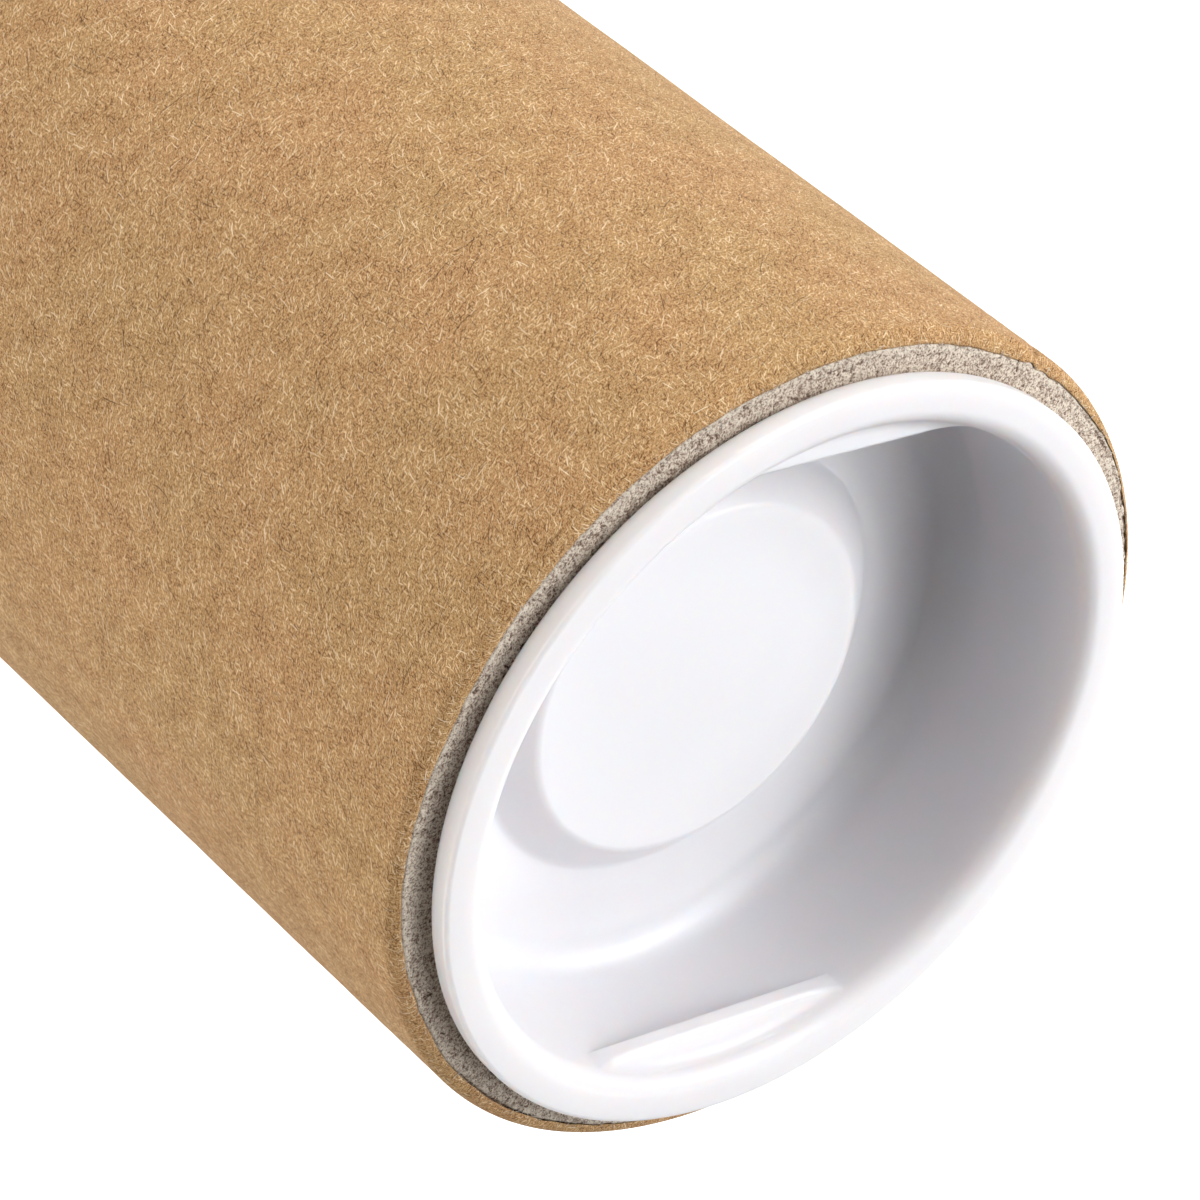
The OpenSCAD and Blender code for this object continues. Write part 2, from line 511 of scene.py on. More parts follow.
@dataclass(frozen=True)
class BoardLining:
    """The innermost grey ply, rolled smooth on the mandrel: even grey with faint fibres and dark specks."""

    body: str = "#a2978a"
    shade: str = "#8c8174"
    speck: str = "#5b5046"
    cloud_mm: float = 2.2
    speck_mm: float = 1.6
    relief_mm: float = 0.05

    def material(self) -> bpy.types.Material:
        """Makes the bore's material.

        Returns:
            The material, patterned on Object coordinates.
        """
        made, tree = new_material("rolled_grey_board")
        place = add_node(tree, "ShaderNodeTexCoord").outputs["Object"]
        cloud = add_node(tree, "ShaderNodeTexNoise", None, Vector=place, Scale=1 / (self.cloud_mm * MM),
                         Detail=6.0, Roughness=0.7).outputs["Fac"]
        cloud = add_node(tree, "ShaderNodeMapRange", None, Value=cloud, From_Min=0.3, From_Max=0.7).outputs[0]
        colour = add_node(tree, "ShaderNodeMix", {"data_type": "RGBA"}, Factor=cloud,
                          in6=linear(self.shade), in7=linear(self.body)).outputs[2]
        dots = add_node(tree, "ShaderNodeTexVoronoi", None, Vector=place,
                        Scale=1 / (self.speck_mm * MM)).outputs["Distance"]
        dots = add_node(tree, "ShaderNodeMapRange", None, Value=dots, From_Min=0.12, From_Max=0.06,
                        To_Max=0.7)
        colour = add_node(tree, "ShaderNodeMix", {"data_type": "RGBA"}, Factor=dots.outputs[0],
                          in6=colour, in7=linear(self.speck)).outputs[2]
        bump = add_node(tree, "ShaderNodeBump", None, Height=cloud, Strength=0.4,
                        Distance=self.relief_mm * MM)
        shader = add_node(tree, "ShaderNodeBsdfPrincipled", None, Base_Color=colour, Roughness=0.85,
                          Specular_IOR_Level=0.2, Normal=bump.outputs[0])
        add_node(tree, "ShaderNodeOutputMaterial", None, Surface=shader.outputs[0])
        return made


@dataclass(frozen=True)
class PulpFibre:
    """Loose pulp fibres: matt, each one its own tone between two colours."""

    name: str
    first: str
    second: str
    tone: str = "tone"

    def material(self) -> bpy.types.Material:
        """Makes the fibres' material.

        Returns:
            The material, which reads each fibre's own tone attribute.
        """
        made, tree = new_material(self.name)
        tone = add_node(tree, "ShaderNodeAttribute", {"attribute_name": self.tone}).outputs["Fac"]
        colour = add_node(tree, "ShaderNodeMix", {"data_type": "RGBA"}, Factor=tone,
                          in6=linear(self.first), in7=linear(self.second)).outputs[2]
        shader = add_node(tree, "ShaderNodeBsdfPrincipled", None, Base_Color=colour, Roughness=0.8,
                          Specular_IOR_Level=0.25)
        add_node(tree, "ShaderNodeOutputMaterial", None, Surface=shader.outputs[0])
        return made


@dataclass(frozen=True)
class WhitePolyethylene:
    """Injection-moulded white polyethylene: waxy, satin and very slightly uneven from the mould."""

    body: str = "#edeaec"
    faint: str = "#e9e6e8"
    swirl_mm: float = 9.0
    wave_mm: float = 7.0
    relief_mm: float = 0.02
    gloss: tuple[float, float] = (0.33, 0.41)
    scatter_mm: float = 2.2
    scatter_shares: tuple[float, float, float] = (1.0, 0.76, 0.62)

    def material(self) -> bpy.types.Material:
        """Makes the caps' material.

        Returns:
            The material, patterned on Object coordinates.
        """
        made, tree = new_material("moulded_white_polyethylene")
        place = add_node(tree, "ShaderNodeTexCoord").outputs["Object"]
        swirl = add_node(tree, "ShaderNodeTexNoise", None, Vector=place, Scale=1 / (self.swirl_mm * MM),
                         Detail=3.0, Distortion=0.6).outputs["Fac"]
        colour = add_node(tree, "ShaderNodeMix", {"data_type": "RGBA"}, Factor=swirl,
                          in6=linear(self.faint), in7=linear(self.body)).outputs[2]
        wave = add_node(tree, "ShaderNodeTexNoise", None, Vector=place, Scale=1 / (self.wave_mm * MM),
                        Detail=1.0)
        gloss = add_node(tree, "ShaderNodeMapRange", None, Value=wave.outputs["Fac"], To_Min=self.gloss[0],
                         To_Max=self.gloss[1])
        bump = add_node(tree, "ShaderNodeBump", None, Height=wave.outputs["Fac"], Strength=0.5,
                        Distance=self.relief_mm * MM)
        shader = add_node(tree, "ShaderNodeBsdfPrincipled", None, Base_Color=colour,
                          Roughness=gloss.outputs[0], IOR=1.51, Subsurface_Weight=1.0,
                          Subsurface_Radius=self.scatter_shares, Subsurface_Scale=self.scatter_mm * MM,
                          Normal=bump.outputs[0])
        add_node(tree, "ShaderNodeOutputMaterial", None, Surface=shader.outputs[0])
        return made


@dataclass(frozen=True)
class WornSpot:
    """A stretch of a cut edge where the paper is worn back, in degrees and, for its depth, millimetres."""

    side: float
    half_width: float
    depth: float


@dataclass(frozen=True)
class CutEdge:
    """Where the paper stops on a cut end: frayed all round and worn back in places, in millimetres."""

    seed: int
    worn: tuple[WornSpot, ...]
    reach: float = 28.0
    fray: float = 0.028
    limit: float = 28.6
    steps: int = 720

    def radius(self, angles: np.ndarray) -> np.ndarray:
        """How far from the axis the paper stops.

        Args:
            angles: Turns about the tube's axis, in radians.

        Returns:
            A radius for each angle.
        """
        ring = (1, self.steps)
        rough = felted_noise(ring, 1.2, self.seed)[0] + 0.8 * felted_noise(ring, 7.0, self.seed + 1)[0]
        turns = np.arange(self.steps + 1) * TURN / self.steps
        frayed = np.interp(angles % TURN, turns, np.append(rough, rough[0]))
        edge = self.reach + self.fray * frayed
        for spot in self.worn:
            off = degrees_off(angles, spot.side)
            edge = edge + spot.depth * np.exp(-((off / spot.half_width) ** 2))
        return np.minimum(edge, self.limit)


@dataclass
class TubeLayer:
    """What the layers of the tube's wall share: an outside radius and two cut ends, in millimetres.

    Behind the paper's rolled edge, out of sight, both layers turn in to the hidden radius.
    """

    radius: float
    lower: float
    upper: float
    edges: dict[TubeEnd, CutEdge]
    hidden_r: float = 28.3

    def level(self, end: TubeEnd) -> float:
        """Height of one cut end."""
        return self.upper if end is TubeEnd.TOP else self.lower


@dataclass
class PaperWrap(TubeLayer):
    """The outer ply: a strip of brown paper wound round the board in a helix and rolled over both cut ends.

    Sizes are in millimetres. The strip's edges meet in a butt seam that climbs one full turn in each lead.
    """

    ply: float = 0.4
    edge_round: float = 0.9
    lead: float = 195.0
    seam_side: float = -31.0
    seam_depth: float = 0.18
    seam_width: float = 0.12
    seam_flare: float = 1.5
    seam_widening: float = 1.6
    seam_columns: tuple[float, ...] = (0.0, 0.07, 0.14, 0.24, 0.4, 0.65)
    lip_height: float = 0.02
    lip_off: float = 0.5
    lip_spread: float = 0.1
    columns: int = 400
    turn_rings: int = 10
    coarse_rings: int = 68
    fine_rings: int = 90
    fine_length: float = 96.0
    hidden_steps: tuple[float, float] = (0.05, 0.1)
    hidden_depths: tuple[float, float, float] = (0.12, 0.42, 1.1)
    cockle: float = 0.012
    cockle_cells: int = 256
    fibre_margin: float = 0.5
    finish: BrownPaper = field(default_factory=BrownPaper)

    def climb(self) -> float:
        """The strip's angle from the ring round the tube, in radians."""
        return math.atan2(self.lead, TURN * self.radius)

    def shares(self) -> np.ndarray:
        """Places of the grid's columns from one side of the seam to the other, closest beside it.

        Returns:
            Shares of a turn from 0 to 1.
        """
        across = TURN * self.radius * math.sin(self.climb())
        near = np.array(self.seam_columns) / across
        even = np.linspace(near[-1], 1 - near[-1], self.columns)
        return np.concatenate([near[:-1], even, 1 - near[:0:-1]])

    def angles(self, shares: np.ndarray, heights: np.ndarray) -> np.ndarray:
        """Turns of the columns about the axis.

        Args:
            shares: The columns' shares of a turn from the seam.
            heights: Heights in millimetres.

        Returns:
            Angles in radians, shaped as both together.
        """
        return TURN * (shares + (heights - self.upper) / self.lead) + math.radians(self.seam_side)

    def relief(self, shares: np.ndarray, heights: np.ndarray) -> np.ndarray:
        """How far the paper stands out at each grid point, in millimetres.

        Args:
            shares: The columns' shares of a turn from the seam.
            heights: Heights of the rings, in millimetres.

        Returns:
            One row for each height.
        """
        off = np.minimum(shares, 1 - shares) * TURN * self.radius * math.sin(self.climb())
        ends = np.minimum(self.upper - heights, heights - self.lower)[:, None]
        flare = np.exp(-ends / self.seam_flare)
        width = self.seam_width * (1 + self.seam_widening * flare)
        groove = -self.seam_depth * (1 + flare) * np.exp(-((off / width) ** 2))
        lip = self.lip_height * np.exp(-((off - self.lip_off) ** 2) / self.lip_spread)
        size = self.cockle_cells
        wave = felted_noise((size, size), 6.0, 3) + 0.6 * felted_noise((size, size), 2.5, 4)
        rise = (heights - self.lower) / (self.upper - self.lower)
        row = (rise * (size - 1)).astype(int).clip(0, size - 1)
        column = (shares * (size - 1)).astype(int).clip(0, size - 1)
        fade = np.clip(off / 2, 0, 1)
        return groove + lip + self.cockle * fade * wave[row][:, column]

    def rolled(self, shares: np.ndarray, end: TubeEnd) -> tuple[np.ndarray, np.ndarray, np.ndarray]:
        """The rolled edge at one end, from the wall to where the paper stops.

        Args:
            shares: The columns' shares of a turn from the seam.
            end: Which end of the tube.

        Returns:
            Radii, heights and run lengths along the paper, one row for each ring.
        """
        level = self.level(end)
        stop = self.edges[end].radius(self.angles(shares, np.full_like(shares, level)))
        bend = self.radius - self.edge_round
        quarter = self.edge_round * math.pi / 2
        length = np.where(stop < bend, quarter + bend - stop,
                          self.edge_round * np.arccos(np.clip((stop - bend) / self.edge_round, 0, 1)))
        run = np.linspace(0, 1, self.turn_rings + 1)[1:, None] * length[None, :]
        angle = np.minimum(run / self.edge_round, math.pi / 2)
        radii = bend + self.edge_round * np.cos(angle) - np.maximum(run - quarter, 0)
        heights = level - end.value * self.edge_round * (1 - np.sin(angle))
        return radii, heights, level + end.value * (run - self.edge_round)

    def underside(self, stop: np.ndarray, end: TubeEnd) -> tuple[np.ndarray, np.ndarray]:
        """The hidden face behind the rolled edge at one end, from where the paper stops to the straight wall.

        Args:
            stop: Radii at which the paper stops.
            end: Which end of the tube.

        Returns:
            Radii and heights, one row for each ring.
        """
        near, far = self.hidden_steps
        radii = np.stack([stop + near, np.maximum(stop + far, self.hidden_r),
                          np.full_like(stop, self.radius - self.ply)])
        depths = np.array(self.hidden_depths)[:, None]
        return radii, np.broadcast_to(self.level(end) - end.value * depths, radii.shape)

    def wind(self, sheet: bpy.types.Object, shares: np.ndarray, runs: np.ndarray) -> None:
        """Gives the sheet its winding UV map, in metres along and across the strip.

        Args:
            sheet: The sheet's object.
            shares: The columns' shares of a turn from the seam.
            runs: Run lengths along the paper, one row for each ring.
        """
        climb = self.climb()
        runs = np.concatenate([runs, runs[:, :1]], axis=1)
        girth = TURN * self.radius * np.append(shares, 1.0)
        machine = girth * math.cos(climb) + runs / math.sin(climb)
        laid = np.stack([machine, np.broadcast_to(-girth * math.sin(climb), machine.shape)], axis=-1) * MM
        above = np.roll(laid, -1, axis=0)
        loops = np.stack([laid[:, :-1], laid[:, 1:], above[:, 1:], above[:, :-1]], axis=2)
        layer = sheet.data.uv_layers.new(name=self.finish.uv_map)
        layer.data.foreach_set("uv", loops.reshape(-1).astype(np.float32))

    def build(self) -> bpy.types.Object:
        """Makes the closed sheet with its winding UV map.

        Returns:
            The sheet's object.
        """
        shares = self.shares()
        fade = np.linspace(1, 0, self.turn_rings + 1)[1:, None]
        top_r, top_z, top_run = self.rolled(shares, TubeEnd.TOP)
        low_r, low_z, low_run = self.rolled(shares, TubeEnd.BOTTOM)
        top_r = top_r + fade * self.relief(shares, np.full(self.turn_rings, self.upper))
        low_r = low_r + fade * self.relief(shares, np.full(self.turn_rings, self.lower))
        fine_from = self.upper - self.fine_length
        wall_z = np.concatenate([np.linspace(self.lower + self.edge_round, fine_from, self.coarse_rings),
                                 np.linspace(fine_from, self.upper - self.edge_round, self.fine_rings)[1:]])
        wall_r = self.radius + self.relief(shares, wall_z)
        wall_z = np.broadcast_to(wall_z[:, None], wall_r.shape)
        top_under_r, top_under_z = self.underside(top_r[-1], TubeEnd.TOP)
        low_under_r, low_under_z = self.underside(low_r[-1], TubeEnd.BOTTOM)
        under_z = [top_under_z, low_under_z[::-1]]
        radii = np.concatenate([low_r[::-1], wall_r, top_r, top_under_r, low_under_r[::-1]])
        heights = np.concatenate([low_z[::-1], wall_z, top_z, *under_z])
        points = turned(radii, self.angles(shares[None, :], heights), heights)
        sheet = mesh_object("paper_wrap_sheet", points.reshape(-1, 3) * MM,
                            band_faces(len(radii), len(shares), closed=True))
        self.wind(sheet, shares, np.concatenate([low_run[::-1], wall_z, top_run, *under_z]))
        return sheet

    def carrier(self) -> bpy.types.Object:
        """Makes the plain outer band that loose fibres are scattered on.

        Returns:
            The band's object.
        """
        rings, columns = 40, 160
        heights = np.linspace(self.lower + self.fibre_margin, self.upper - self.fibre_margin, rings)
        shares = np.linspace(0, 1, columns + 1)[:-1]
        points = turned(self.radius + self.relief(shares, heights),
                        self.angles(shares[None, :], heights[:, None]), heights[:, None])
        return mesh_object("fibre_carrier", points.reshape(-1, 3) * MM,
                           band_faces(rings, columns, closed=False))

    def dress(self, sheet: bpy.types.Object) -> None:
        """Gives the sheet its paper, ties it to its body and hides the part that it stands for.

        Args:
            sheet: The sheet's object.
        """
        sheet.data.materials.append(self.finish.material())
        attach(sheet, "tube")
        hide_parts("paper_wrap")


@dataclass(frozen=True)
class OpenPly:
    """A stretch of a cut end where the outer ply has let go, in degrees and, for its radius, millimetres."""

    side: float
    half_width: float
    radius: float
    drift: float


@dataclass
class ChipboardTube(TubeLayer):
    """The wall: plies of grey board wound in a helix and sawn off at both ends. Sizes are in millimetres."""

    bore: float = 25.0
    fine_columns: int = 1344
    coarse_columns: int = 336
    rings: int = 25
    bore_rings: int = 62
    grain_depth: float = 0.025
    grain_limit: float = 0.06
    pit_depth: float = 0.12
    gap_depth: float = 0.3
    gap_width: float = 0.09
    fuzz_r: float = 26.3
    fuzz_lap: float = 0.15
    edge_lap: float = 0.04
    shoulder: tuple[float, float] = (0.6, 1.3)
    bore_margin: float = 0.9
    bore_rough: float = 0.012
    bore_turns: float = 1.5
    bore_seam: float = 0.12
    open_plies: tuple[OpenPly, ...] = (
        OpenPly(side=-62.0, half_width=17.0, radius=28.2, drift=0.011),
        OpenPly(side=146.0, half_width=13.0, radius=28.02, drift=-0.004),
    )
    finish: GreyBoard = field(default_factory=GreyBoard)
    lining: BoardLining = field(default_factory=BoardLining)

    def cut_face(self, end: TubeEnd) -> tuple[np.ndarray, np.ndarray]:
        """Makes the rough sawn ring at one end, from the bore outwards.

        Args:
            end: Which end of the tube.

        Returns:
            The points, one row for each ring, and at each a value from 0 to 1 for grain and painted shade.
        """
        seed = 40 if end is TubeEnd.TOP else 60
        shape = (self.rings, self.fine_columns)
        angles = np.arange(self.fine_columns)[None, :] * TURN / self.fine_columns
        share = np.linspace(0, 1, self.rings)[:, None]
        edge = self.edges[end].radius(angles) + self.edge_lap
        radii = self.bore + share * (edge - self.bore)

        # The saw leaves a fine grain, lumps of pulp, torn-out pits and a gap where a ply has let go.
        fine = felted_noise(shape, 0.75, seed)
        lumps = felted_noise(shape, 2.4, seed + 1)
        pits = np.clip((felted_noise(shape, 0.9, seed + 2) - 2.3) / 0.5, 0, 1)
        gap = np.zeros(shape)
        for ply in self.open_plies:
            off = degrees_off(angles, ply.side)
            line = ply.radius - ply.drift * off
            span = np.clip(1.6 - (off / ply.half_width) ** 2, 0, 1)
            gap += np.exp(-(((radii - line) / self.gap_width) ** 2)) * span
        gap = np.clip(gap * (0.75 + 0.35 * lumps), 0, 1)

        # The ring grows paler towards its outer edge, and the pits and gaps are darkened as painted shade.
        fringe = 0.12 * np.clip((share - 0.8) / 0.15, 0, 1)
        grain_and_shade = np.clip(0.5 + fringe + 0.06 * fine - 0.45 * pits - 0.45 * gap, 0, 1)
        rise = self.grain_depth * (fine + 0.12 * lumps) - self.pit_depth * pits - self.gap_depth * gap

        # Both edges of the ring drop away, under the paper outside and under the rim in the bore.
        rise -= 0.3 * np.clip((share - 0.97) / 0.03, 0, 1) + 0.12 * np.clip((0.03 - share) / 0.03, 0, 1)
        level = self.level(end) + end.value * np.minimum(rise, self.grain_limit)
        return turned(radii + 0.02 * fine * np.sin(math.pi * share), angles, level), grain_and_shade

    def build(self) -> bpy.types.Object:
        """Makes the closed wall with an attribute for grain and painted shade, its bore lined with the rolled
        ply.

        Returns:
            The wall's object.
        """
        fine, coarse = self.fine_columns, self.coarse_columns
        top, top_grain_and_shade = self.cut_face(TubeEnd.TOP)
        low, low_grain_and_shade = self.cut_face(TubeEnd.BOTTOM)
        heights = np.linspace(self.upper - self.bore_margin, self.lower + self.bore_margin, self.bore_rings)
        fall = np.linspace(0, 1, len(heights))[:, None]
        turns = np.arange(coarse)[None, :] / coarse
        bore_r = self.bore + self.bore_rough * felted_noise((len(heights), coarse), 2.5, 71)
        bore_r[:, 0] += self.bore_seam
        inside = turned(bore_r, TURN * (turns - self.bore_turns * fall), heights[:, None])
        shallow, deep = self.shoulder
        hidden = np.array([(self.hidden_r, self.lower + shallow), (self.radius, self.lower + deep),
                           (self.radius, self.upper - deep), (self.hidden_r, self.upper - shallow)])
        outside = turned(hidden[:, :1], TURN * turns, hidden[:, 1:])
        grids = (top, low, inside, outside)
        sizes = [g.shape[0] * g.shape[1] for g in grids]
        top_at, low_at, in_at, out_at = np.concatenate([[0], np.cumsum(sizes)[:-1]]).tolist()

        rim = band_faces(self.rings, fine, closed=False)
        cut = [tuple(i + top_at for i in q[::-1]) for q in rim] + [tuple(i + low_at for i in q) for q in rim]
        lined = [tuple(i + in_at for i in q) for q in band_faces(len(heights), coarse, closed=False)]
        cut += [tuple(i + out_at for i in q) for q in band_faces(len(hidden), coarse, closed=False)]
        step = fine // coarse
        shift = round(self.bore_turns * coarse)
        outer = (self.rings - 1) * fine
        in_last = in_at + (len(heights) - 1) * coarse
        out_last = out_at + (len(hidden) - 1) * coarse
        for c in range(coarse):
            after = (c + 1) % coarse
            near = [(c * step + k) % fine for k in range(step + 1)]
            far = [(((c - shift) % coarse) * step + k) % fine for k in range(step + 1)]
            lined.append((*[top_at + e for e in near[::-1]], in_at + c, in_at + after))
            lined.append((*[low_at + e for e in far], in_last + after, in_last + c))
            cut.append((out_last + c, out_last + after, *[top_at + outer + e for e in near[::-1]]))
            cut.append((out_at + after, out_at + c, *[low_at + outer + e for e in near]))
        points = np.concatenate([g.reshape(-1, 3) for g in grids])
        wall = mesh_object("chipboard_wall", points * MM, cut + lined)
        # The cut ends carry their grain and painted shade; the bore and the hidden wall take a plain middle
        # value.
        grain_and_shade = np.concatenate([top_grain_and_shade.ravel(), low_grain_and_shade.ravel(), np.full(sizes[2] + sizes[3], 0.5)])
        layer = wall.data.attributes.new(self.finish.grain_and_shade, "FLOAT", "POINT")
        layer.data.foreach_set("value", grain_and_shade.astype(np.float32))
        slots = np.concatenate([np.zeros(len(cut), np.int32), np.ones(len(lined), np.int32)])
        wall.data.polygons.foreach_set("material_index", slots)
        return wall

    def carrier(self, end: TubeEnd) -> bpy.types.Object:
        """Makes the ring at a cut end that loose fibres are scattered on.

        Args:
            end: Which end of the tube.

        Returns:
            The ring's object, facing outwards.
        """
        rings, columns = 5, 240
        angles = np.arange(columns)[None, :] * TURN / columns
        share = np.linspace(0, 1, rings)[:, None]
        edge = self.edges[end].radius(angles) + self.fuzz_lap
        points = turned(self.fuzz_r + share * (edge - self.fuzz_r), angles,
                        np.full((rings, columns), self.level(end)))
        faces = band_faces(rings, columns, closed=False)
        if end is TubeEnd.TOP:
            faces = [q[::-1] for q in faces]
        return mesh_object("fuzz_carrier", points.reshape(-1, 3) * MM, faces)

    def dress(self, wall: bpy.types.Object) -> None:
        """Gives the wall its board, ties it to its body and hides the part that it stands for.

        Args:
            wall: The wall's object.
        """
        wall.data.materials.append(self.finish.material())
        wall.data.materials.append(self.lining.material())
        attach(wall, "tube")
        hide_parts("chipboard_tube")


@dataclass
class LooseFibres:
    """Pulp fibres that lie loose on a surface, scattered by Geometry Nodes. Sizes are in millimetres.

    They are drawn a little thicker than real fibres, which are about 0.03 mm, so that they show.
    """

    name: str
    slot: str
    finish: bpy.types.Material
    per_mm2: float
    length: float
    thick: float
    seed: int
    lay: float = 47.0
    spread: float = 55.0
    lift: float = 0.0

    def tree(self) -> bpy.types.NodeTree:
        """Builds the node tree that scatters bent fibres over a mesh.

        Returns:
            The tree, with named inputs for its sizes.
        """
        tree = bpy.data.node_groups.new("loose_fibres", "GeometryNodeTree")
        sockets = (("Surface", "Geometry"), ("Density", "Float"), ("Seed", "Int"), ("Length", "Float"),
                   ("Thickness", "Float"), ("Lay", "Float"), ("Spread", "Float"), ("Lift", "Float"),
                   ("Finish", "Material"))
        for name, kind in sockets:
            tree.interface.new_socket(name=name, in_out="INPUT", socket_type=f"NodeSocket{kind}")
        tree.interface.new_socket(name="Fibres", in_out="OUTPUT", socket_type="NodeSocketGeometry")
        given = add_node(tree, "NodeGroupInput").outputs
        spots = add_node(tree, "GeometryNodeDistributePointsOnFaces", None, Mesh=given["Surface"],
                         Density=given["Density"], Seed=given["Seed"])

        # Three bends of fibre, each a thin three-sided tube one unit long.
        slim = add_node(tree, "ShaderNodeMath", {"operation": "DIVIDE"}, in0=given["Thickness"],
                        in1=given["Length"])
        slim = add_node(tree, "ShaderNodeMath", {"operation": "MULTIPLY"}, in0=slim.outputs[0], in1=0.5)
        round_wire = add_node(tree, "GeometryNodeCurvePrimitiveCircle", None, Resolution=3,
                              Radius=slim.outputs[0])
        shapes = add_node(tree, "GeometryNodeJoinGeometry")
        for bow, kink in ((0.12, 0.02), (0.34, -0.03), (-0.22, 0.06)):
            strand = add_node(tree, "GeometryNodeCurveQuadraticBezier", None, Resolution=5,
                              Start=(-0.5, 0.0, 0.0), Middle=(kink, bow, 0.0), End=(0.5, 0.0, 0.0))
            tube = add_node(tree, "GeometryNodeCurveToMesh", None, Curve=strand.outputs[0],
                            Profile_Curve=round_wire.outputs[0], Fill_Caps=True)
            single = add_node(tree, "GeometryNodeGeometryToInstance", None, Geometry=tube.outputs[0])
            tree.links.new(single.outputs[0], shapes.inputs[0])

        # Each lies in the surface, near the lay of the winding.
        ring = add_node(tree, "ShaderNodeVectorMath", {"operation": "CROSS_PRODUCT"}, in0=(0.0, 0.0, 1.0),
                        in1=spots.outputs["Normal"])
        share = add_node(tree, "ShaderNodeMath", {"operation": "COSINE"}, in0=given["Lay"])
        rise = add_node(tree, "ShaderNodeMath", {"operation": "SINE"}, in0=given["Lay"])
        flat = add_node(tree, "ShaderNodeVectorMath", {"operation": "SCALE"}, in0=ring.outputs[0],
                        Scale=share.outputs[0])
        steep = add_node(tree, "ShaderNodeCombineXYZ", None, Z=rise.outputs[0])
        along = add_node(tree, "ShaderNodeVectorMath", {"operation": "ADD"}, in0=flat.outputs[0],
                         in1=steep.outputs[0])
        facing = add_node(tree, "FunctionNodeAlignRotationToVector", {"axis": "X", "pivot_axis": "Z"},
                          Rotation=spots.outputs["Rotation"], Vector=along.outputs[0])
        most = add_node(tree, "ShaderNodeMath", {"operation": "MULTIPLY"}, in0=given["Spread"], in1=-1.0)
        swing = add_node(tree, "FunctionNodeRandomValue", {"data_type": "FLOAT"}, in2=most.outputs[0],
                         in3=given["Spread"], Seed=1)
        swing = add_node(tree, "FunctionNodeAxisAngleToRotation", None, Axis=(0.0, 0.0, 1.0),
                         Angle=swing.outputs[1])
        facing = add_node(tree, "FunctionNodeRotateRotation", {"rotation_space": "LOCAL"},
                          Rotation=facing.outputs[0], Rotate_By=swing.outputs[0])
        tip = add_node(tree, "FunctionNodeRandomValue", {"data_type": "FLOAT"}, in2=0.0, in3=given["Lift"],
                       Seed=2)
        tip = add_node(tree, "FunctionNodeAxisAngleToRotation", None, Axis=(0.0, 1.0, 0.0),
                       Angle=tip.outputs[1])
        facing = add_node(tree, "FunctionNodeRotateRotation", {"rotation_space": "LOCAL"},
                          Rotation=facing.outputs[0], Rotate_By=tip.outputs[0])

        kind = add_node(tree, "FunctionNodeRandomValue", {"data_type": "INT"}, in4=0, in5=2, Seed=3)
        size = add_node(tree, "FunctionNodeRandomValue", {"data_type": "FLOAT"}, in2=0.45, in3=1.5, Seed=4)
        size = add_node(tree, "ShaderNodeMath", {"operation": "MULTIPLY"}, in0=size.outputs[1],
                        in1=given["Length"])
        grown = add_node(tree, "GeometryNodeInstanceOnPoints", None, Points=spots.outputs["Points"],
                         Instance=shapes.outputs[0], Pick_Instance=True, Instance_Index=kind.outputs[2],
                         Rotation=facing.outputs[0], Scale=size.outputs[0])
        tone = add_node(tree, "FunctionNodeRandomValue", {"data_type": "FLOAT"}, in2=0.0, in3=1.0, Seed=5)
        toned = add_node(tree, "GeometryNodeStoreNamedAttribute",
                         {"data_type": "FLOAT", "domain": "INSTANCE"}, Geometry=grown.outputs[0],
                         Name="tone", Value=tone.outputs[1])
        real = add_node(tree, "GeometryNodeRealizeInstances", None, Geometry=toned.outputs[0])
        done = add_node(tree, "GeometryNodeSetMaterial", None, Geometry=real.outputs[0],
                        Material=given["Finish"])
        add_node(tree, "NodeGroupOutput", None, Fibres=done.outputs[0])
        return tree

    def grow(self, carrier: bpy.types.Object) -> bpy.types.Object:
        """Scatters the fibres over a surface, which they take the place of.

        Args:
            carrier: The surface's object.

        Returns:
            The same object, now the fibres alone.
        """
        tree = self.tree()
        scatter = carrier.modifiers.new("fibres", "NODES")
        scatter.node_group = tree
        values = {"Density": self.per_mm2 / MM**2, "Seed": self.seed, "Length": self.length * MM,
                  "Thickness": self.thick * MM, "Lay": math.radians(self.lay),
                  "Spread": math.radians(self.spread), "Lift": math.radians(self.lift),
                  "Finish": self.finish}
        for item in tree.interface.items_tree:
            if item.in_out == "INPUT" and item.name in values:
                scatter[item.identifier] = values[item.name]
        fibres = applied(carrier)
        fibres.name = fibres.data.name = self.name
        fibres.data.shade_smooth()
        bpy.data.node_groups.remove(tree)
        return fibres

    def dress(self, fibres: bpy.types.Object) -> None:
        """Ties the fibres to the tube."""
        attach(fibres, "tube")


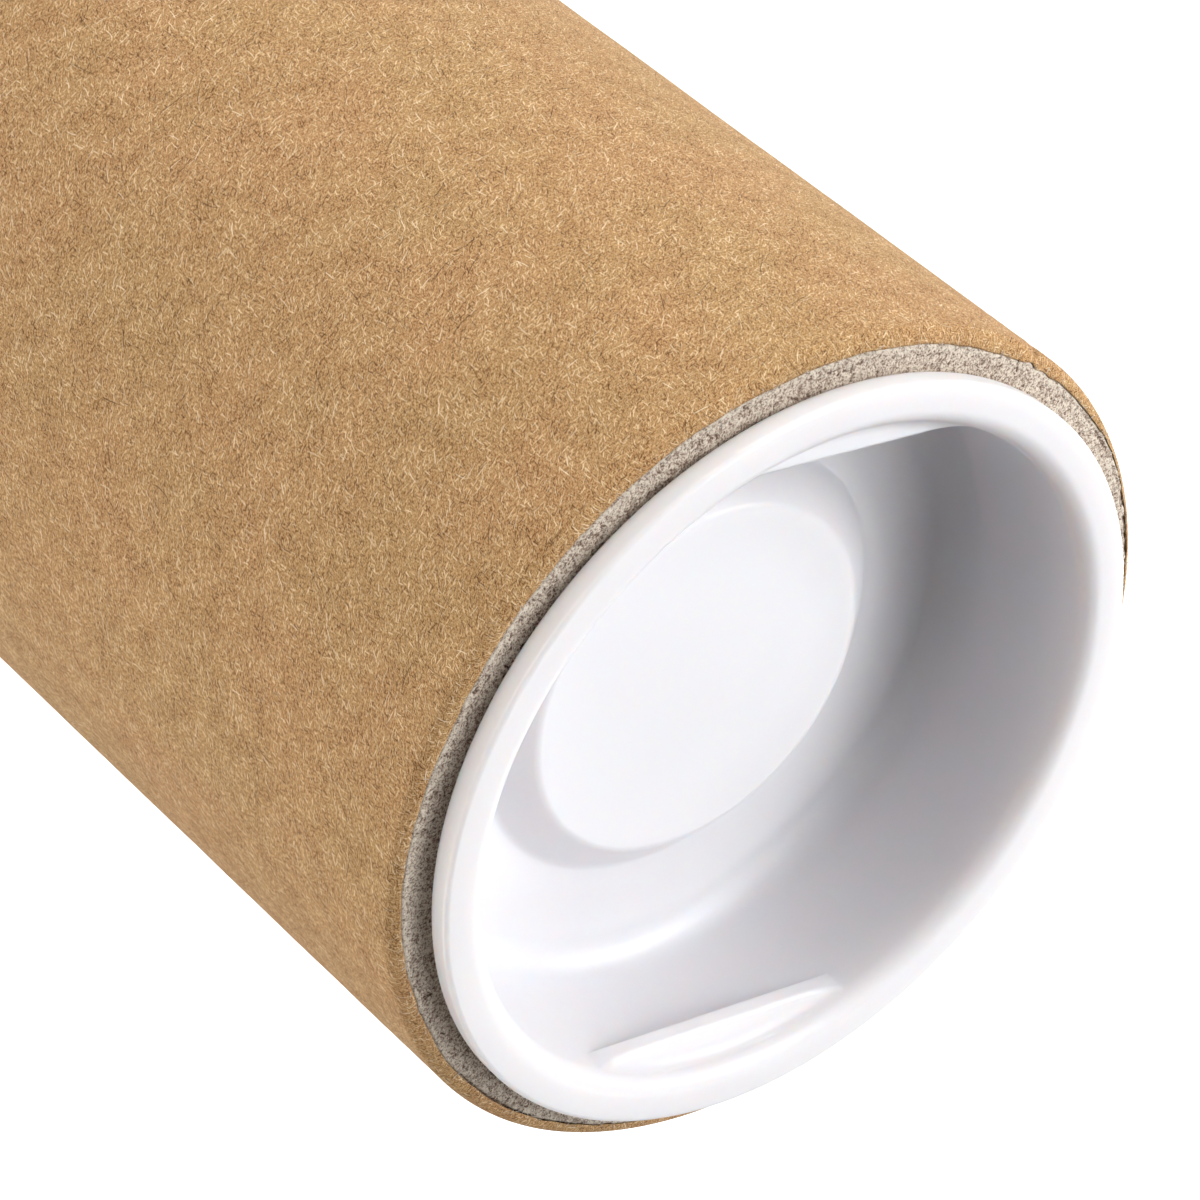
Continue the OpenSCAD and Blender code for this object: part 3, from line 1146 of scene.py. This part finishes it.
@dataclass
class EndCap:
    """A moulded plug: a rim that seats on the cut end, a drafted cup with a raised floor, two finger webs.

    Sizes are in millimetres, and heights are measured outwards from the tube's cut end.
    """

    seat: float
    end: TubeEnd
    finish: bpy.types.Material
    rim_r: float = 26.55
    rim_height: float = 2.0
    rim_inner_round: float = 1.3
    rim_outer_round: float = 0.35
    rim_under_round: float = 0.9
    seat_fillet: float = 0.1
    plug_r: float = 24.95
    plug_tip_r: float = 24.25
    plug_end: float = 11.65
    lead_length: float = 6.0
    tip_round: float = 3.8
    cup_r: float = 23.4
    cup_floor_r: float = 22.95
    cup_depth: float = 10.15
    cup_fillet: float = 2.5
    floor_thick: float = 1.5
    plateau_r: float = 12.5
    plateau_foot: float = 15.1
    plateau_rise: float = 2.35
    plateau_round: float = 0.9
    plateau_crown: float = 0.12
    web_edge: float = 21.15
    web_thick: float = 1.1
    web_top: float = 0.25
    web_soft: float = 0.3
    web_blend: float = 1.2
    web_root: float = 0.6
    web_columns: int = 65
    web_rows: int = 33
    crease: float = 38.0
    ring_step: float = 1.5
    round_steps: int = 12
    segments: int = 256

    def name(self) -> str:
        """The moulding's object name."""
        return f"{self.end.name.lower()}_cap_moulding"

    def section(self) -> list[Point]:
        """The moulding's section, from the axis below the floor and round the rim to the axis above it.

        Returns:
            Points as across and up, in millimetres.
        """
        slope = math.atan2(self.plateau_rise, self.plateau_foot - self.plateau_r)
        shift = self.floor_thick * math.tan(slope / 2)
        under = self.plateau_rise - self.plug_end
        over = self.plateau_rise - self.cup_depth
        return rounded([(0, under, 0),
                        (self.plateau_r - shift, under, self.plateau_round),
                        (self.plateau_foot - shift, -self.plug_end, self.plateau_round),
                        (self.plug_tip_r, -self.plug_end, self.tip_round),
                        (self.plug_r, self.lead_length - self.plug_end, 0),
                        (self.plug_r, 0, self.seat_fillet),
                        (self.rim_r, 0, self.rim_under_round),
                        (self.rim_r, self.rim_height, self.rim_outer_round),
                        (self.cup_r, self.rim_height, self.rim_inner_round),
                        (self.cup_r, 0, 0),
                        (self.cup_floor_r, -self.cup_depth, self.cup_fillet),
                        (self.plateau_foot, -self.cup_depth, self.plateau_round),
                        (self.plateau_r, over, self.plateau_round),
                        (0, over, 0)], self.round_steps)

    def lathe(self) -> bpy.types.Object:
        """Turns the section into the closed moulding, without its webs.

        Returns:
            The moulding's object.
        """
        section = self.section()
        rings: list[Point] = []
        for near, far in zip(section[1:-2], section[2:-1]):
            count = max(1, math.ceil(math.dist(near, far) / self.ring_step))
            rings += [(near[0] + (far[0] - near[0]) * k / count, near[1] + (far[1] - near[1]) * k / count)
                      for k in range(count)]
        rings.append(section[-2])
        flat_r, flat_z = section[-2]
        rings += [(flat_r * share, flat_z + self.plateau_crown * (1 - share**2))
                  for share in (tenths / 10 for tenths in range(9, 0, -1))]
        grid = np.array(rings)
        turns = np.arange(self.segments)[None, :] * TURN / self.segments
        points = turned(grid[:, :1], turns, grid[:, 1:]).reshape(-1, 3)
        faces = band_faces(len(grid), self.segments, closed=False)
        below, above = len(points), len(points) + 1
        points = np.concatenate([points, [(0, 0, section[0][1]), (0, 0, flat_z + self.plateau_crown)]])
        last = (len(grid) - 1) * self.segments
        for c in range(self.segments):
            after = (c + 1) % self.segments
            faces.append((below, after, c))
            faces.append((above, last + c, last + after))
        return mesh_object(self.name(), points * MM, faces)

    def web(self, side: int) -> bpy.types.Object:
        """Makes one finger web across the mouth of the cup.

        Args:
            side: 1 for the web towards +X, -1 for the other.

        Returns:
            The web's object, with a soft edge and a top that blends into the cup's wall.
        """
        # The root is buried in the cup's wall, and rows lie closer towards the straight edge.
        outer = self.cup_r + self.web_root
        turns = np.linspace(-1, 1, self.web_columns) * math.acos(self.web_edge / outer)
        share = np.linspace(0, 1, self.web_rows)[:, None] ** 1.5
        width = share * (outer * np.cos(turns) - self.web_edge)
        across = self.web_edge + width
        straight = self.web_edge * np.tan(turns)
        along = straight + share * (outer * np.sin(turns) - straight)

        # The top is rounded off at the straight edge and curves up into the mouth's own round at its root.
        edge = np.clip(1 - width / self.web_soft, 0, 1)
        both = self.web_blend + self.rim_inner_round
        rise = self.web_top + self.web_blend - (self.rim_height - self.rim_inner_round)
        reach = math.sqrt(both**2 - rise**2)
        start = self.cup_r + self.rim_inner_round - reach
        root = np.clip((np.hypot(across, along) - start) / self.web_blend, 0, reach / both)
        drop = self.web_soft * (1 - np.sqrt(1 - edge**2))
        lift = self.web_blend * (1 - np.sqrt(1 - root**2))
        top = self.web_top - drop + lift
        foot = np.full((2, len(turns)), self.web_top - self.web_thick)
        rows = np.stack([np.concatenate([across, across[[-1, 0]]]), np.concatenate([along, along[[-1, 0]]]),
                         np.concatenate([top, foot])], axis=-1)
        points = rows.reshape(-1, 3) * (side * MM, side * MM, MM)
        web = mesh_object("finger_web", points, band_faces(*rows.shape[:2], closed=True, around=False))
        shape = bmesh.new()
        shape.from_mesh(web.data)
        bmesh.ops.remove_doubles(shape, verts=shape.verts[:], dist=1e-7)
        bmesh.ops.recalc_face_normals(shape, faces=shape.faces[:])
        shape.to_mesh(web.data)
        shape.free()
        return web

    def build(self) -> bpy.types.Object:
        """Joins the lathe-turned moulding and its webs, and puts it in its end of the tube.

        Returns:
            The moulding's object.
        """
        cap = self.lathe()
        webs = [self.web(1), self.web(-1)]
        for web in webs:
            union = cap.modifiers.new("web", "BOOLEAN")
            union.operation = "UNION"
            union.solver = "EXACT"
            union.object = web
        applied(cap)
        for web in webs:
            bpy.data.objects.remove(web)
        flip = Matrix.Identity(4) if self.end is TubeEnd.TOP else Matrix.Rotation(math.pi, 4, "X")
        cap.data.transform(Matrix.Translation((0, 0, self.seat * MM)) @ flip)
        cap.data.shade_smooth()
        cap.data.set_sharp_from_angle(angle=math.radians(self.crease))
        return cap

    def dress(self, cap: bpy.types.Object) -> None:
        """Gives the cap its plastic, ties it to its body and hides the part that it stands for.

        Args:
            cap: The moulding's object.
        """
        cap.data.materials.clear()
        cap.data.materials.append(self.finish)
        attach(cap, "upper_cap" if self.end is TubeEnd.TOP else "lower_cap")
        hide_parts("top_cap" if self.end is TubeEnd.TOP else "bottom_cap")


@dataclass(frozen=True)
class Lamp:
    """A soft square lamp that faces the tube, in degrees, watts and metres."""

    name: str
    azimuth: float
    elevation: float
    power: float
    colour: str = "#ffffff"
    distance: float = 0.9
    size: float = 0.45

    def build(self, aim: Vector) -> None:
        """Adds the lamp, which lights the scene and stays out of the picture.

        Args:
            aim: The point that it faces, in metres.
        """
        data = bpy.data.lights.new(self.name, "AREA")
        data.shape = "SQUARE"
        data.size = self.size
        data.energy = self.power
        data.color = linear(self.colour)[:3]
        turn, rise = math.radians(self.azimuth), math.radians(self.elevation)
        out = Vector((math.cos(rise) * math.cos(turn), math.cos(rise) * math.sin(turn), math.sin(rise)))
        lamp = bpy.data.objects.new(self.name, data)
        lamp.location = aim + out * self.distance
        lamp.rotation_euler = out.to_track_quat("Z", "Y").to_euler()
        lamp.visible_camera = False
        bpy.context.scene.collection.objects.link(lamp)


@dataclass
class Studio:
    """The camera at the photograph's angle, soft lamps, a pale floor and a white surround."""

    camera_mm: tuple[float, float, float] = (182.713, 204.539, 505.690)
    aim_mm: tuple[float, float, float] = (15.081, 17.053, 307.0)
    roll: float = -129.99
    lens_mm: float = 165.16
    sensor_mm: float = 36.0
    clip_m: float = 0.01
    lamps: tuple[Lamp, ...] = (
        Lamp("key_lamp", -50.0, 45.0, 5.3, "#fcfdff"),
        Lamp("key_edge_lamp", -80.0, 68.0, 2.0, "#fcfdff"),
        Lamp("key_wide_lamp", -20.0, 45.0, 1.7, "#fcfdff"),
        Lamp("front_lamp", -15.0, -5.0, 3.0, "#fffcf8"),
        Lamp("near_lamp", 45.0, -5.0, 0.75, "#fffcf8"),
        Lamp("left_lamp", 75.0, -5.0, 3.1, "#fffcf8"),
        Lamp("low_lamp", 135.0, -5.0, 2.6, "#fffcf8"),
        Lamp("far_lamp", 228.0, 45.0, 1.85, "#fcfdff"),
        Lamp("back_lamp", 240.0, -5.0, 3.0),
        Lamp("under_lamp", 48.0, -85.0, 2.2),
    )
    lamp_aim_m: tuple[float, float, float] = (0.0, 0.0, 0.29)
    floor_colour: str = "#e6e6e6"
    floor_reach_m: float = 4.0
    floor_near: Point = (0.2, 0.6)
    floor_far: Point = (0.9, 0.92)

    def place_camera(self) -> None:
        """Adds the camera and makes it the scene's own."""
        data = bpy.data.cameras.new("photo_camera")
        data.lens = self.lens_mm
        data.sensor_width = self.sensor_mm
        data.sensor_fit = "HORIZONTAL"
        data.clip_start = self.clip_m
        place = Vector(self.camera_mm) * MM
        ahead = (Vector(self.aim_mm) * MM - place).normalized()
        level = ahead.cross(Vector((0, 0, 1))).normalized()
        upright = level.cross(ahead)
        tilt = math.radians(self.roll)
        up = upright * math.cos(tilt) + level * math.sin(tilt)
        right = ahead.cross(up)
        camera = bpy.data.objects.new("photo_camera", data)
        camera.matrix_world = Matrix.Translation(place) @ Matrix((right, up, -ahead)).transposed().to_4x4()
        bpy.context.scene.collection.objects.link(camera)
        bpy.context.scene.camera = camera

    def seen(self, tree: bpy.types.NodeTree) -> bpy.types.NodeSocket:
        """Adds nodes that give 1 where the eye, a reflection or clear material looks, and 0 elsewhere.

        Args:
            tree: The node tree that the nodes go into.

        Returns:
            The socket with that value.
        """
        path = add_node(tree, "ShaderNodeLightPath").outputs
        either = add_node(tree, "ShaderNodeMath", {"operation": "MAXIMUM"}, in0=path["Is Camera Ray"],
                          in1=path["Is Glossy Ray"])
        return add_node(tree, "ShaderNodeMath", {"operation": "MAXIMUM"}, in0=either.outputs[0],
                        in1=path["Is Transmission Ray"]).outputs[0]

    def lay_floor(self) -> None:
        """Adds the pale floor, which looks white where it is lit and keeps the tube's shadow.

        It glows a little, to the eye alone and more with distance: floor_near and floor_far give metres from
        the axis and strength. From below it is clear, and it lets the lamp under it through, so that the
        lower cap shows.
        """
        reach = self.floor_reach_m
        corners = np.array([(-reach, -reach, 0), (reach, -reach, 0), (reach, reach, 0), (-reach, reach, 0)])
        floor = mesh_object("floor", corners, [(0, 1, 2, 3)])
        made, tree = new_material("white_card_floor")
        place = add_node(tree, "ShaderNodeTexCoord").outputs["Object"]
        away = add_node(tree, "ShaderNodeVectorMath", {"operation": "LENGTH"}, in0=place).outputs["Value"]
        white = add_node(tree, "ShaderNodeMapRange", None, Value=away, From_Min=self.floor_near[0],
                         From_Max=self.floor_far[0], To_Min=self.floor_near[1], To_Max=self.floor_far[1])
        glow = add_node(tree, "ShaderNodeMath", {"operation": "MULTIPLY"}, in0=self.seen(tree),
                        in1=white.outputs[0])
        plain = add_node(tree, "ShaderNodeBsdfDiffuse", None, Color=linear(self.floor_colour))
        light = add_node(tree, "ShaderNodeEmission", None, Color=linear("#ffffff"), Strength=glow.outputs[0])
        both = add_node(tree, "ShaderNodeAddShader", None, in0=plain.outputs[0], in1=light.outputs[0])
        below = add_node(tree, "ShaderNodeMath", {"operation": "MAXIMUM"},
                         in0=add_node(tree, "ShaderNodeNewGeometry").outputs["Backfacing"],
                         in1=add_node(tree, "ShaderNodeLightPath").outputs["Is Shadow Ray"])
        clear = add_node(tree, "ShaderNodeBsdfTransparent")
        card = add_node(tree, "ShaderNodeMixShader", None, in0=below.outputs[0], in1=both.outputs[0],
                        in2=clear.outputs[0])
        add_node(tree, "ShaderNodeOutputMaterial", None, Surface=card.outputs[0])
        floor.data.materials.append(made)

    def surround(self) -> None:
        """Sets the world: white to the eye and to reflections, with all other light left to the lamps."""
        world = bpy.data.worlds.new("white_surround")
        world.use_nodes = True
        tree = world.node_tree
        tree.nodes.clear()
        glow = add_node(tree, "ShaderNodeBackground", None, Color=linear("#ffffff"), Strength=self.seen(tree))
        add_node(tree, "ShaderNodeOutputWorld", None, Surface=glow.outputs[0])
        bpy.context.scene.world = world

    def build(self) -> None:
        """Sets up the camera, lamps, floor and surround."""
        self.place_camera()
        for lamp in self.lamps:
            lamp.build(Vector(self.lamp_aim_m))
        self.lay_floor()
        self.surround()
        bpy.context.scene.view_settings.view_transform = "Standard"


def main() -> None:
    """Builds the tube piece by piece and sets up the studio."""
    logging.basicConfig(level=logging.INFO, format="%(name)s: %(message)s")
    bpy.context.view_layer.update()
    board_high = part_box("chipboard_tube")[1] / MM
    paper_low, paper_high = (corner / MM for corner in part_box("paper_wrap"))
    Studio().build()
    LOG.info("studio ready")

    edges = {
        TubeEnd.TOP: CutEdge(seed=11, worn=(WornSpot(94.0, 17.0, 0.36), WornSpot(-66.0, 24.0, 0.5),
                                            WornSpot(-31.0, 1.0, 0.22))),
        TubeEnd.BOTTOM: CutEdge(seed=17, worn=(WornSpot(20.0, 20.0, 0.3), WornSpot(200.0, 12.0, 0.25))),
    }
    wrap = PaperWrap(radius=paper_high.x, lower=paper_low.z, upper=paper_high.z, edges=edges)
    sheet = wrap.build()
    wrap.dress(sheet)
    LOG.info("%s: %d faces", sheet.name, len(sheet.data.polygons))

    board = ChipboardTube(radius=board_high.x - PLY_GAP, lower=paper_low.z, upper=paper_high.z, edges=edges)
    wall = board.build()
    board.dress(wall)
    LOG.info("%s: %d faces", wall.name, len(wall.data.polygons))

    pale = PulpFibre("pale_pulp_fibre", "#d9b98f", "#efdcbc").material()
    dark = PulpFibre("dark_pulp_fibre", "#6b4c2c", "#8f6b41").material()
    grey = PulpFibre("grey_pulp_fibre", "#b9ae9f", "#e2dacd").material()
    scatters = [
        (LooseFibres("paper_fibres_pale", "brown_paper", pale, per_mm2=0.04, length=0.8, thick=0.036, seed=5),
         wrap.carrier()),
        (LooseFibres("paper_fibres_dark", "brown_paper", dark, per_mm2=0.03, length=1.5, thick=0.036, seed=6),
         wrap.carrier()),
    ]
    for end, seed in ((TubeEnd.TOP, 7), (TubeEnd.BOTTOM, 8)):
        fuzz = LooseFibres(f"cut_fuzz_{end.name.lower()}", "chipboard", grey, per_mm2=4.0, length=0.45,
                           thick=0.04, seed=seed, spread=180.0, lift=25.0)
        scatters.append((fuzz, board.carrier(end)))
    for fibres, carrier in scatters:
        grown = fibres.grow(carrier)
        fibres.dress(grown)
        LOG.info("%s: %d faces", grown.name, len(grown.data.polygons))

    plastic = WhitePolyethylene().material()
    for end, seat in ((TubeEnd.TOP, paper_high.z), (TubeEnd.BOTTOM, paper_low.z)):
        cap = EndCap(seat=seat, end=end, finish=plastic)
        moulding = cap.build()
        cap.dress(moulding)
        LOG.info("%s: %d faces", moulding.name, len(moulding.data.polygons))


if __name__ == "__main__":
    main()
